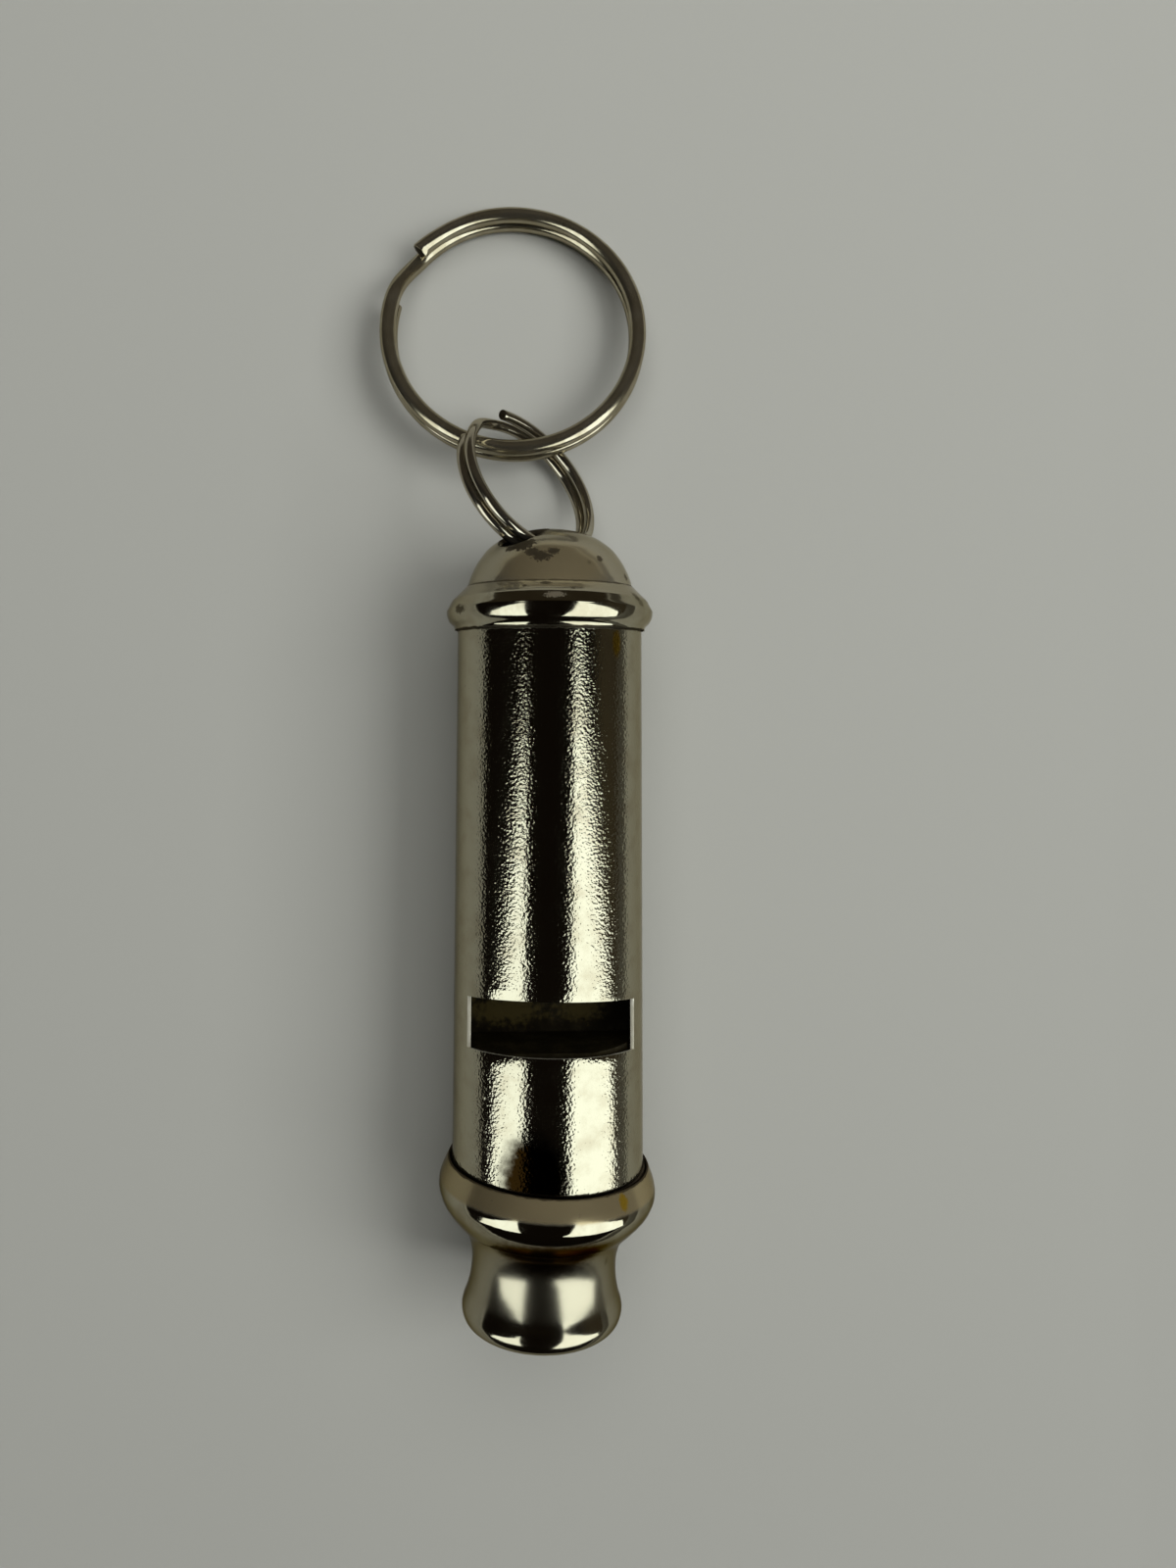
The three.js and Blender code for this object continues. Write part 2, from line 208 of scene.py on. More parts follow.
# Stage, in metres
FLOOR_HALF = 0.5
FLOOR_FADE = (0.16, 0.46)
FLOOR_COLOUR = (0.385, 0.39, 0.355)
# A dark sheet that only reflections see: it puts a dark reflection on the metal's right side,
# where the floor stays pale
SHEET_SPOT = (0.558, 0, 0.0005)
SHEET_COLOUR = (0.05, 0.045, 0.035)
CLOTH_ROUGHNESS = 0.9
REACH = 0.35
DAYLIGHT = (0.95, 1.02, 1.01)
WHITE_LIGHT = (1, 1, 1)

# Room: colours, and the directions between which one gives way to the next
BACKDROP_COLOUR = (0.37, 0.375, 0.345)
ROOM_DARK = (0.007, 0.005, 0.0035)
FAR_WALL = (0.038, 0.031, 0.020)
FAR_WALL_EDGE = (0.15, 0.50)
RIGHT_WALL = (0.055, 0.046, 0.030)
RIGHT_WALL_EDGE = (0.75, 0.95)
HORIZON_EDGE = (0.005, 0.03)

# Camera: focal length in pixels of the picture's height, place in millimetres, turns in degrees
SENSOR_WIDTH = 36.0
FOCAL_PIXELS = 1202.9
PICTURE_HEIGHT = 1600
PICTURE_SHIFT = -0.125
NEAREST_SEEN = 0.005
FARTHEST_SEEN = 20.0
CAMERA_ASIDE = -1.90
CAMERA_BELOW_JOINT = -5.12
CAMERA_HEIGHT = 111.38
CAMERA_TURNS = (("Z", 0.07), ("Y", -2.92), ("X", 4.95))


# Shader building

def add_node(tree, kind, **settings):
    node = tree.nodes.new(kind)
    for name, value in settings.items():
        setattr(node, name, value)
    return node


def feed(tree, value, socket):
    """Links another node's output to a socket, or sets the socket to a plain value."""
    if isinstance(value, bpy.types.NodeSocket):
        tree.links.new(value, socket)
    else:
        socket.default_value = value


def math_node(tree, operation, *values):
    node = add_node(tree, "ShaderNodeMath", operation=operation)
    for value, socket in zip(values, node.inputs):
        feed(tree, value, socket)
    return node.outputs[0]


def vector_node(tree, operation, *vectors):
    node = add_node(tree, "ShaderNodeVectorMath", operation=operation)
    for vector, socket in zip(vectors, node.inputs):
        feed(tree, vector, socket)
    return node.outputs["Value" if operation in ("LENGTH", "DOT_PRODUCT") else "Vector"]


def map_range(tree, value, low, high, to_low=0.0, to_high=1.0):
    node = add_node(tree, "ShaderNodeMapRange", interpolation_type="SMOOTHSTEP")
    names = ("Value", "From Min", "From Max", "To Min", "To Max")
    for name, number in zip(names, (value, low, high, to_low, to_high)):
        feed(tree, number, node.inputs[name])
    return node.outputs["Result"]


def mix_colour(tree, factor, first, second):
    node = add_node(tree, "ShaderNodeMix", data_type="RGBA")
    feed(tree, factor, node.inputs["Factor"])
    for name, colour in (("A", first), ("B", second)):
        socket = next(s for s in node.inputs if s.name == name and s.type == "RGBA")
        feed(tree, (*colour, 1.0) if isinstance(colour, tuple) else colour, socket)
    return next(s for s in node.outputs if s.type == "RGBA")


def noise(tree, vector, scale, detail=2.0, roughness=0.5):
    node = add_node(tree, "ShaderNodeTexNoise")
    names = ("Vector", "Scale", "Detail", "Roughness")
    for name, value in zip(names, (vector, scale, detail, roughness)):
        feed(tree, value, node.inputs[name])
    return node.outputs["Fac"]


def bump(tree, height, distance):
    node = add_node(tree, "ShaderNodeBump")
    for name, value in (("Strength", 1.0), ("Distance", distance), ("Height", height)):
        feed(tree, value, node.inputs[name])
    return node.outputs["Normal"]


def object_coords(tree):
    return add_node(tree, "ShaderNodeTexCoord").outputs["Object"]


def new_group(name, inputs, outputs):
    """A node group with the given inputs and their usual values, and its in and out sockets."""
    tree = bpy.data.node_groups.new(name, "ShaderNodeTree")
    for socket_name, value in inputs.items():
        kind = "NodeSocketVector" if isinstance(value, tuple) else "NodeSocketFloat"
        socket = tree.interface.new_socket(socket_name, in_out="INPUT", socket_type=kind)
        socket.default_value = value
    for socket_name in outputs:
        tree.interface.new_socket(socket_name, in_out="OUTPUT", socket_type="NodeSocketFloat")
    given = add_node(tree, "NodeGroupInput").outputs
    return tree, given, add_node(tree, "NodeGroupOutput").inputs


def place_group(tree, group, **values):
    node = add_node(tree, "ShaderNodeGroup", node_tree=group)
    for name, value in values.items():
        node.inputs[name.replace("_", " ")].default_value = value
    return node.outputs


# Effects that materials share

def plating_grain_group():
    """Fine orange peel under the plating, with sparse dark pin holes."""
    tree, given, out = new_group("plating_grain", {"Grain Scale": 3000.0}, ["Height", "Pin Holes"])
    place = object_coords(tree)
    scale = given["Grain Scale"]
    fine = noise(tree, place, scale, detail=1.0, roughness=0.45)
    coarse = noise(tree, place, math_node(tree, "MULTIPLY", scale, COARSE_SCALE), detail=1.0)
    swell = math_node(tree, "MULTIPLY", coarse, COARSE_HEIGHT)
    feed(tree, math_node(tree, "ADD", fine, swell), out["Height"])
    pit_scale = math_node(tree, "MULTIPLY", scale, PIT_SCALE)
    pits = noise(tree, place, pit_scale, detail=3.0, roughness=0.65)
    feed(tree, map_range(tree, pits, *PIT_EDGE), out["Pin Holes"])
    return tree


def ragged_mask(tree, given, place, far):
    """Full where far is below 1 and nothing beyond, with a ragged and soft edge between."""
    rags = noise(tree, place, given["Ragged Scale"], detail=3.0, roughness=0.6)
    reach = math_node(tree, "MULTIPLY", given["Raggedness"], RAGGED_REACH)
    shift = math_node(tree, "MULTIPLY", math_node(tree, "SUBTRACT", rags, 0.5), reach)
    edge = math_node(tree, "ADD", far, shift)
    low = math_node(tree, "SUBTRACT", 1.0, given["Softness"])
    high = math_node(tree, "ADD", 1.0, given["Softness"])
    return map_range(tree, edge, low, high, 1.0, 0.0)


def mark_and_light_patch_group():
    """A ragged patch round one place of the piece."""
    tree, given, out = new_group(
        "mark_and_light_patch",
        {"Centre": (0, 0, 0), "Stretch": (1, 1, 1), "Radius": 0.001,
         "Raggedness": 0.5, "Ragged Scale": 1500.0, "Softness": 0.1},
        ["Mask"])
    place = object_coords(tree)
    offset = vector_node(tree, "SUBTRACT", place, given["Centre"])
    offset = vector_node(tree, "DIVIDE", offset, given["Stretch"])
    far = math_node(tree, "DIVIDE", vector_node(tree, "LENGTH", offset), given["Radius"])
    feed(tree, ragged_mask(tree, given, place, far), out["Mask"])
    return tree


def crease_band_group():
    """A ragged band round the piece, at a distance along its axis."""
    tree, given, out = new_group(
        "crease_band",
        {"Axis": (0, 1, 0), "Distance": 0.0, "Half Width": 0.0003,
         "Raggedness": 0.5, "Ragged Scale": BAND_RAGGED_SCALE, "Softness": 0.3},
        ["Mask"])
    place = object_coords(tree)
    along = vector_node(tree, "DOT_PRODUCT", place, given["Axis"])
    away = math_node(tree, "ABSOLUTE", math_node(tree, "SUBTRACT", along, given["Distance"]))
    far = math_node(tree, "DIVIDE", away, given["Half Width"])
    feed(tree, ragged_mask(tree, given, place, far), out["Mask"])
    return tree


def turning_lines_group():
    """Fine lines round the piece, left by the lathe and the polishing cloth."""
    tree, given, out = new_group("turning_lines", {"Line Scale": LINE_SCALE}, ["Height"])
    squeeze = add_node(tree, "ShaderNodeCombineXYZ")
    for socket, share in zip(squeeze.inputs, LINE_STRETCH):
        feed(tree, math_node(tree, "MULTIPLY", given["Line Scale"], share), socket)
    place = vector_node(tree, "MULTIPLY", object_coords(tree), squeeze.outputs[0])
    feed(tree, noise(tree, place, 1.0, detail=2.0, roughness=0.6), out["Height"])
    return tree


def tarnish_group():
    """Cloudy dulling of the plating."""
    tree, given, out = new_group("tarnish", {"Cloud Scale": 250.0, "Cover": 0.5}, ["Mask"])
    cloud = noise(tree, object_coords(tree), given["Cloud Scale"], detail=4.0, roughness=0.6)
    high = math_node(tree, "SUBTRACT", CLOUD_TOP, given["Cover"])
    low = math_node(tree, "SUBTRACT", high, CLOUD_EDGE)
    feed(tree, map_range(tree, cloud, low, high), out["Mask"])
    return tree


GRAIN = plating_grain_group()
PATCH = mark_and_light_patch_group()
BAND = crease_band_group()
TARNISH = tarnish_group()
LINES = turning_lines_group()


# Marks and materials

# One mark: its node group and values, its colour, how strongly it covers, and the roughness and
# share of metal that it gives the plate
Mark = namedtuple("Mark", "group values colour strength rough metal")


def on_whistle(x, y, z):
    """A place on the whistle, from millimetres about its axis and cap joint to metres."""
    return TO_WHISTLE @ Vector((x, y, z))


def mark_and_painted_light(spot, radius, colour, strength, stretch=(1, 1, 1), ragged=0.5, soft=0.1, rough=0.5,
          metal=1.0):
    """A patch round a spot of the whistle."""
    values = dict(Centre=on_whistle(*spot), Radius=radius * MM, Stretch=stretch, Softness=soft,
                  Raggedness=ragged, Ragged_Scale=RAGS_PER_RADIUS / (radius * MM))
    return Mark(PATCH, values, colour, strength, rough, metal)


def flake(spot, radius, strength, **shape):
    """A spot where the plating has come off."""
    return mark_and_painted_light(spot, radius, FLAKED, strength, **shape)


def band(axis, low, high, colour, strength, ragged=0.5, soft=0.4, rough=0.5, metal=1.0):
    """A band between two lengths along an axis."""
    distance = on_whistle(0, (low + high) / 2, 0).dot(Vector(axis))
    values = dict(Axis=axis, Distance=distance, Half_Width=abs(high - low) / 2 * MM, Softness=soft,
                  Raggedness=ragged, Ragged_Scale=BAND_RAGGED_SCALE)
    return Mark(BAND, values, colour, strength, rough, metal)


def mark_mask(tree, mark):
    mask = place_group(tree, mark.group, **mark.values)["Mask"]
    return math_node(tree, "MULTIPLY", mask, mark.strength)


def new_material(name, metallic=1.0, roughness=0.2, colour=(0.5, 0.5, 0.5), grazing=GRAZING_TINT):
    """A material with plain values, its nodes and its shader's sockets."""
    material = bpy.data.materials.new(name)
    material.use_nodes = True
    shader = material.node_tree.nodes["Principled BSDF"].inputs
    shader["Metallic"].default_value = metallic
    shader["Roughness"].default_value = roughness
    shader["Base Color"].default_value = (*colour, 1.0)
    if metallic > 0:
        shader["Specular Tint"].default_value = (*grazing, 1.0)
    return material, material.node_tree, shader


def plated_metal(name, grain_scale, grain_depth, line_depth, rough, cover, pits, marks,
                 grazing=GRAZING_TINT):
    """Nickel plate with its grain, dulling, pin holes and marks, some of them painted reflection
    and shade.
    """
    material, tree, shader = new_material(name, grazing=grazing)
    grain = place_group(tree, GRAIN, Grain_Scale=grain_scale)
    cloud = place_group(tree, TARNISH, Cloud_Scale=PLATE_CLOUD_SCALE, Cover=cover)["Mask"]
    dulled = math_node(tree, "MULTIPLY", cloud, PLATE_DULLING)
    colour = mix_colour(tree, dulled, NICKEL, DULL_NICKEL)
    roughness = map_range(tree, cloud, 0, 1, *rough)
    metal = None
    for mark in marks:
        mask = mark_mask(tree, mark)
        colour = mix_colour(tree, mask, colour, mark.colour)
        plate = math_node(tree, "MULTIPLY", roughness, math_node(tree, "SUBTRACT", 1.0, mask))
        marked = math_node(tree, "MULTIPLY", mask, mark.rough)
        roughness = math_node(tree, "ADD", plate, marked)
        if mark.metal < 1:
            lost = math_node(tree, "MULTIPLY", mask, 1 - mark.metal)
            kept = math_node(tree, "SUBTRACT", 1.0, lost)
            metal = kept if metal is None else math_node(tree, "MULTIPLY", metal, kept)
    holes = math_node(tree, "MULTIPLY", grain["Pin Holes"], pits)
    feed(tree, mix_colour(tree, holes, colour, GRIME), shader["Base Color"])
    feed(tree, roughness, shader["Roughness"])
    if metal is not None:
        feed(tree, metal, shader["Metallic"])
    peel = math_node(tree, "MULTIPLY", grain["Height"], grain_depth / GRAIN_UNIT)
    lines = place_group(tree, LINES)["Height"]
    lines = math_node(tree, "MULTIPLY", lines, line_depth / GRAIN_UNIT)
    height = math_node(tree, "ADD", peel, lines)
    feed(tree, bump(tree, height, GRAIN_UNIT), shader["Normal"])
    return material


def plain_metal(name, colour, dark, rough, scale, metallic, grain_depth=GRAIN_UNIT, marks=()):
    """Metal that is cloudy between two colours, with marks that only change its colour."""
    material, tree, shader = new_material(name, metallic=metallic, roughness=rough[0])
    grain = place_group(tree, GRAIN, Grain_Scale=scale)
    cloud = place_group(
        tree, TARNISH, Cloud_Scale=scale * PLAIN_CLOUD_SHARE, Cover=PLAIN_CLOUD_COVER)["Mask"]
    colour = mix_colour(tree, cloud, colour, dark)
    for mark in marks:
        colour = mix_colour(tree, mark_mask(tree, mark), colour, mark.colour)
    feed(tree, colour, shader["Base Color"])
    feed(tree, map_range(tree, cloud, 0, 1, *rough), shader["Roughness"])
    feed(tree, bump(tree, grain["Height"], grain_depth), shader["Normal"])
    return material


BARREL_PLATE = plated_metal(
    "barrel_plate", grain_scale=4400.0, grain_depth=0.000028, line_depth=0.0,
    rough=(0.09, 0.125), cover=0.36, pits=0.5,
    marks=[
        # A near-black patch on top of the barrel, just above the mouthpiece joint
        mark_and_painted_light((-1.25, -42.9, 7.85), 2.6, NEAR_BLACK_PATCH, 1.0,
              stretch=(1.0, 1.33, 1.0), ragged=0.12, soft=0.3, rough=0.12),
        mark_and_painted_light((5.37, -1.3, 5.86), 0.6, LACQUER_YELLOW, 0.9,
              stretch=(0.8, 1.8, 0.8), ragged=0.3, soft=0.3, rough=0.2),
        band(WHISTLE_AXIS, -0.14, 0.14, GRIME, 0.9, ragged=0.6),
        band(BEAD_AXIS, -44.15, -43.85, GRIME, 0.95, ragged=0.4),
    ])
CAP_PLATE = plated_metal(
    "cap_plate", grain_scale=1600.0, grain_depth=0.000004, line_depth=0.0000012,
    rough=(0.05, 0.12), cover=0.45, pits=0.35,
    marks=[
        band(CAP_BEAD_AXIS, 2.42, 11.0, FILM, 1.0,
             ragged=0.003, soft=0.012, rough=0.14, metal=0.82),
        mark_and_painted_light((0.2, 5.2, 6.5), 2.6, HAZE, 0.9,
              stretch=(1.9, 0.85, 0.9), ragged=0.05, soft=0.35, rough=0.16, metal=0.9),
        flake((-1.62, 6.24, 5.83), 0.45, 0.95, stretch=(1.2, 0.9, 1.0), ragged=0.6, soft=0.05),
        flake((-0.77, 5.87, 6.24), 0.6, 0.95, stretch=(1.3, 0.8, 1.0), ragged=0.6, soft=0.05),
        flake((0.16, 6.31, 6.0), 0.4, 0.95, stretch=(1.3, 0.8, 1.0), ragged=0.6, soft=0.05),
        flake((-2.31, 6.98, 4.96), 0.8, 0.95, stretch=(1.2, 0.9, 1.0), ragged=0.5, soft=0.06),
        flake((-3.4, 6.6, 4.67), 0.35, 0.9, stretch=(1.5, 0.7, 1.0), ragged=0.6, soft=0.06),
        flake((-2.41, 8.2, 2.53), 2.3, 0.9, ragged=0.12, soft=0.06),
        flake((2.41, 8.2, -2.53), 2.3, 0.9, ragged=0.12, soft=0.06),
        flake((4.03, 5.8, 4.89), 0.3, 0.85, ragged=0.6),
        flake((6.38, 4.46, 2.77), 0.3, 0.85, ragged=0.6),
        flake((-7.55, 1.58, 4.72), 0.6, 0.85, stretch=(1.4, 0.6, 1.3), ragged=0.7, soft=0.05),
        flake((7.09, 2.73, 4.61), 0.4, 0.7, ragged=0.9, soft=0.05),
        flake((7.6, 2.24, 4.48), 0.4, 0.6, ragged=0.9, soft=0.05),
        mark_and_painted_light((0.23, 2.5, 8.65), 0.35, SCUFFED, 0.8,
              stretch=(2.2, 0.7, 1.0), ragged=0.7, soft=0.15, rough=0.4, metal=0.6),
        flake((-0.46, 3.53, 7.52), 0.3, 0.8, stretch=(1.6, 0.7, 1), ragged=0.7),
        flake((-2.17, 3.28, 7.55), 0.16, 0.8, stretch=(1.3, 1, 1), ragged=0.6),
        flake((1.7, 3.01, 7.99), 0.16, 0.8, stretch=(1.3, 1, 1), ragged=0.6),
        band(WHISTLE_AXIS, 3.72, 3.86, GRIME, 0.7, ragged=0.8),
        band(WHISTLE_AXIS, -0.1, 0.1, GRIME, 0.9, ragged=0.6),
    ])
MOUTHPIECE_PLATE = plated_metal(
    "mouthpiece_plate", grain_scale=1600.0, grain_depth=0.000003, line_depth=0.0000015,
    rough=(0.045, 0.10), cover=0.38, pits=0.3, grazing=DULL_GRAZING_TINT,
    marks=[
        band(BEAD_AXIS, -45.6, -43.0, HAZE, 1.0, ragged=0.03, soft=0.12, rough=0.2, metal=0.74),
        band(MOUTHPIECE_AXIS, -54.4, -49.3, FILM, 0.9, ragged=0.03, soft=0.3, rough=0.24),
        band(MOUTHPIECE_AXIS, -58.0, -54.4, FILM, 0.7, ragged=0.03, soft=0.1, rough=0.13),
        # Painted dark reflection and shade across the upper side of the crease between the bead
        # and the neck
        mark_and_painted_light((0.2, -48.8, 7.2), 1.5, PAINTED_CREASE_REFLECTION, 0.97,
              stretch=(3.2, 1.4, 1.5), ragged=0.12, soft=0.35, rough=0.2),
        mark_and_painted_light((5.86, -45.1, 6.39), 0.55, LACQUER_YELLOW, 0.9,
              stretch=(0.8, 1.2, 0.8), ragged=0.35, soft=0.25, rough=0.2),
        band(MOUTHPIECE_AXIS, -48.95, -48.7, GRIME, 0.6, ragged=0.7),
        band(BEAD_AXIS, -44.1, -43.9, GRIME, 0.85, ragged=0.7),
    ])
CUT_EDGE = plain_metal(
    "cut_edge", colour=(0.62, 0.61, 0.52), dark=(0.44, 0.42, 0.33),
    rough=(0.25, 0.4), scale=2500.0, metallic=0.5)
SMALL_WIRE = plain_metal(
    "small_ring_polish", colour=(0.52, 0.49, 0.40), dark=(0.38, 0.34, 0.26),
    rough=(0.06, 0.13), scale=2200.0, metallic=0.97, grain_depth=0.000002)
KEY_WIRE = plain_metal(
    "key_ring_polish", colour=(0.46, 0.42, 0.32), dark=(0.33, 0.29, 0.20),
    rough=(0.09, 0.17), scale=2200.0, metallic=0.93, grain_depth=0.000003)
WIRE_END = plain_metal(
    "wire_end", colour=(0.085, 0.062, 0.036), dark=(0.03, 0.022, 0.013),
    rough=(0.45, 0.6), scale=3000.0, metallic=0.6, grain_depth=0.00003)
# The inside of the barrel: tarnish, darkened further as painted shade inside the tube
INNER_TARNISH_AND_SHADE = plain_metal(
    "inner_tarnish_and_painted_shade", colour=(0.06, 0.045, 0.02), dark=(0.015, 0.011, 0.006),
    rough=(0.5, 0.7), scale=1500.0, metallic=0.5)
# Inside the chamber the brass is coloured near black as painted shade; this band towards the mouth
# end gives it the aged brass's own colour
MOUTH_END_BRASS = band(WHISTLE_AXIS, -60.0, -42.0, AGED_BRASS, 0.9, ragged=0.02, soft=0.1)
CHAMBER_BRASS_PAINTED_SHADE = plain_metal(
    "chamber_brass_painted_shade", colour=(0.020, 0.016, 0.007), dark=(0.009, 0.007, 0.003),
    rough=(0.6, 0.8), scale=2500.0, metallic=0.3, grain_depth=0.00003, marks=[MOUTH_END_BRASS])
# The divider plate: its near-black colour is painted shade inside the chamber, its two pale
# patches under the window are painted pools of lamplight, and the band at the mouth end is the
# aged brass's own colour
DIVIDER_PAINTED_SHADE_AND_LIGHT = plain_metal(
    "divider_painted_shade_and_light", colour=(0.009, 0.007, 0.003), dark=(0.004, 0.003, 0.0015),
    rough=(0.7, 0.9), scale=2500.0, metallic=0.2, grain_depth=0.00003,
    marks=[
        mark_and_painted_light((-3.7, -31.9, 0.3), 1.4, PAINTED_LIGHT_POOL, 0.9,
              stretch=(2.2, 0.75, 1.0), ragged=0.8, soft=0.5),
        mark_and_painted_light((2.7, -31.9, 0.3), 1.1, PAINTED_LIGHT_POOL, 0.8,
              stretch=(1.5, 0.8, 1.0), ragged=0.8, soft=0.5),
        MOUTH_END_BRASS,
    ])
JOINT_SOLDER = plain_metal(
    "joint_solder", colour=(0.10, 0.075, 0.045), dark=(0.03, 0.024, 0.016),
    rough=(0.45, 0.65), scale=1500.0, metallic=0.6)


# Mesh building

def ease(share):
    """A share from 0 to 1 that starts and ends gently."""
    return (3 - 2 * share) * share ** 2


def smooth_line(anchors):
    """Points of a smooth curve through the anchors, without the last one."""
    points = [Vector((radius, along, 0)) for radius, along in anchors]
    path = []
    for i in range(len(points) - 1):
        before = points[max(i - 1, 0)]
        after = points[min(i + 2, len(points) - 1)]
        first, last = points[i], points[i + 1]
        handle_out = first + (last - before) / 6
        handle_in = last - (after - first) / 6
        path += interpolate_bezier(first, handle_out, handle_in, last, CURVE_STEPS)[:-1]
    return [(point.x, point.y) for point in path]


def spun(outline, closed=True):
    """Spins an outline about the whistle's axis."""
    bm = bmesh.new()
    corners = [bm.verts.new((radius, along, 0)) for radius, along in outline]
    edges = [bm.edges.new(pair) for pair in zip(corners, corners[1:])]
    if closed:
        edges.append(bm.edges.new((corners[-1], corners[0])))
    bmesh.ops.spin(bm, geom=corners + edges, cent=(0, 0, 0), axis=(0, 1, 0), angle=2 * math.pi,
                   steps=TURN_STEPS, use_merge=True)
    bmesh.ops.remove_doubles(bm, verts=bm.verts, dist=MERGE_DISTANCE)
    bmesh.ops.recalc_face_normals(bm, faces=bm.faces)
    return bm


def round_sharp_edges(bm, width, angle=SHARP_EDGE, wanted=lambda edge: True):
    sharp = [edge for edge in bm.edges if len(edge.link_faces) == 2
             and edge.calc_face_angle(0) > angle and wanted(edge)]
    bmesh.ops.bevel(bm, geom=sharp, offset=width, affect="EDGES", segments=2, profile=0.5,
                    material=-1, clamp_overlap=True)


def new_object(name, bm):
    mesh = bpy.data.meshes.new(name)
    bm.to_mesh(mesh)
    bm.free()
    piece = bpy.data.objects.new(name, mesh)
    bpy.context.scene.collection.objects.link(piece)
    return piece


def cut_away(bm, cutters):
    """The mesh with each cutter's volume taken out of it."""
    body = new_object("uncut", bm)
    tools = [new_object("cutter", cutter) for cutter in cutters]
    for tool in tools:
        cut = body.modifiers.new("cut", "BOOLEAN")
        cut.operation = "DIFFERENCE"
        cut.solver = "EXACT"
        cut.object = tool
    bpy.context.view_layer.update()
    finished = bmesh.new()
    finished.from_object(body, bpy.context.evaluated_depsgraph_get())
    for thing in [body, *tools]:
        mesh = thing.data
        bpy.data.objects.remove(thing)
        bpy.data.meshes.remove(mesh)
    bmesh.ops.remove_doubles(finished, verts=finished.verts, dist=MERGE_DISTANCE)
    return finished


def finish_piece(name, bm, place, body, node, materials, paint=None):
    """Moves a mesh to its place as a piece that rides on a body and replaces a node's solid."""
    if paint:
        for face in bm.faces:
            face.material_index = paint(face)
    bmesh.ops.transform(bm, matrix=place, verts=bm.verts)
    piece = new_object(name, bm)
    for material in materials:
        piece.data.materials.append(material)
    piece.data.shade_smooth()
    piece.data.set_sharp_from_angle(angle=SHADED_SHARP)
    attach(piece, body)
    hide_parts(node)


# Pieces

def window_cutter(half_turn):
    """A block over one window, with ends that lean a little with depth."""
    cutter = bmesh.new()
    bmesh.ops.create_cube(cutter, size=1.0)
    width = 2 * (BARREL_RADIUS + WINDOW_CUT_SPARE)
    size = Matrix.Diagonal((width, WINDOW_HIGH - WINDOW_LOW, WINDOW_CUT_HEIGHT, 1))
    lift = Matrix.Translation((0, 0, WINDOW_LEVEL + WINDOW_CUT_HEIGHT / 2))
    bmesh.ops.transform(cutter, matrix=lift @ size, verts=cutter.verts)
    for vert in cutter.verts:
        lean = WINDOW_TOP_LEAN if vert.co.y > 0 else WINDOW_SILL_LEAN
        vert.co.y += (vert.co.z - BARREL_RADIUS) * math.tan(lean)
    middle = Matrix.Translation((0, (WINDOW_HIGH + WINDOW_LOW) / 2, 0))
    roll = Matrix.Rotation(WINDOW_ROLL + half_turn, 4, "Y")
    yaw = Matrix.Rotation(WINDOW_YAW, 4, "Z")
    bmesh.ops.transform(cutter, matrix=middle @ (roll @ yaw), verts=cutter.verts)
    return cutter


def make_barrel():
    inner = BARREL_RADIUS - BARREL_WALL
    top, bottom = CAP_OVERLAP, CAP_OVERLAP - BARREL_LENGTH
    rows = [top + (bottom - top) * i / (BARREL_ROWS - 1) for i in range(BARREL_ROWS)]
    tube = spun([(BARREL_RADIUS, y) for y in rows] + [(inner, y) for y in reversed(rows)])
    bm = cut_away(tube, [window_cutter(half_turn) for half_turn in (0, math.pi)])
    round_sharp_edges(bm, WINDOW_EDGE_ROUNDING)

    def paint(face):
        middle = face.calc_center_median()
        radius = math.hypot(middle.x, middle.z)
        outward = (face.normal.x * middle.x + face.normal.z * middle.z) / radius
        if outward > FACING_OUT and radius > BARREL_RADIUS - SKIN:
            return 0
        if outward < FACING_IN and radius < inner + SKIN:
            return 1
        return 2

    finish_piece("barrel_tube", bm, TO_WHISTLE, "whistle", "barrel",
                 [BARREL_PLATE, INNER_TARNISH_AND_SHADE, CUT_EDGE], paint)


def hole_drill(side):
    """A rod through the dome where one of its two ring holes is."""
    drill = bmesh.new()
    bmesh.ops.create_cone(drill, cap_ends=True, segments=DRILL_SIDES, radius1=HOLE_RADIUS,
                          radius2=HOLE_RADIUS, depth=DRILL_LENGTH)
    hole_line = Vector((math.sin(HOLE_ROLL), 0, math.cos(HOLE_ROLL)))
    spot = hole_line * side * HOLE_SPREAD + Vector((0, DRILL_MIDDLE, 0))
    turn = Matrix.Rotation(math.pi / 2, 4, "X")
    bmesh.ops.transform(drill, matrix=Matrix.Translation(spot) @ turn, verts=drill.verts)
    return drill


def make_cap():
    outer = smooth_line(CAP_BEAD) + smooth_line(CAP_SHOULDER) + smooth_line(DOME) + [DOME[-1]]
    base = DOME[0][0]
    lining = [(max(r - CAP_WALL, 0.0), y - CAP_WALL * (1 - r / base)) for r, y in DOME]
    socket_top = CAP_OVERLAP + CAP_SOCKET_SPARE
    inside = [(CAP_SOCKET_RADIUS, 0.0), (CAP_SOCKET_RADIUS, socket_top),
              (lining[0][0], socket_top)]
    inside += smooth_line(lining) + [lining[-1]]
    cap = spun(list(reversed(outer)) + inside, closed=False)
    for vert in cap.verts:
        radius = math.hypot(vert.co.x, vert.co.z)
        if 0 < vert.co.y < DOME_BASE and radius > CAP_LEAN_OUTSIDE:
            rising = min(vert.co.y / CAP_FULL_LEAN_FROM, 1)
            falling = min((DOME_BASE - vert.co.y) / (DOME_BASE - CAP_LEDGE[1]), 1)
            vert.co.y += vert.co.z * math.tan(CAP_BEAD_LEAN) * ease(rising * falling)
    bm = cut_away(cap, [hole_drill(side) for side in (1, -1)])
    round_sharp_edges(bm, EDGE_ROUNDING, wanted=lambda e: e.verts[0].co.y > HOLE_EDGES_FROM)
    finish_piece("domed_cap", bm, TO_WHISTLE, "whistle", "top_cap", [CAP_PLATE])


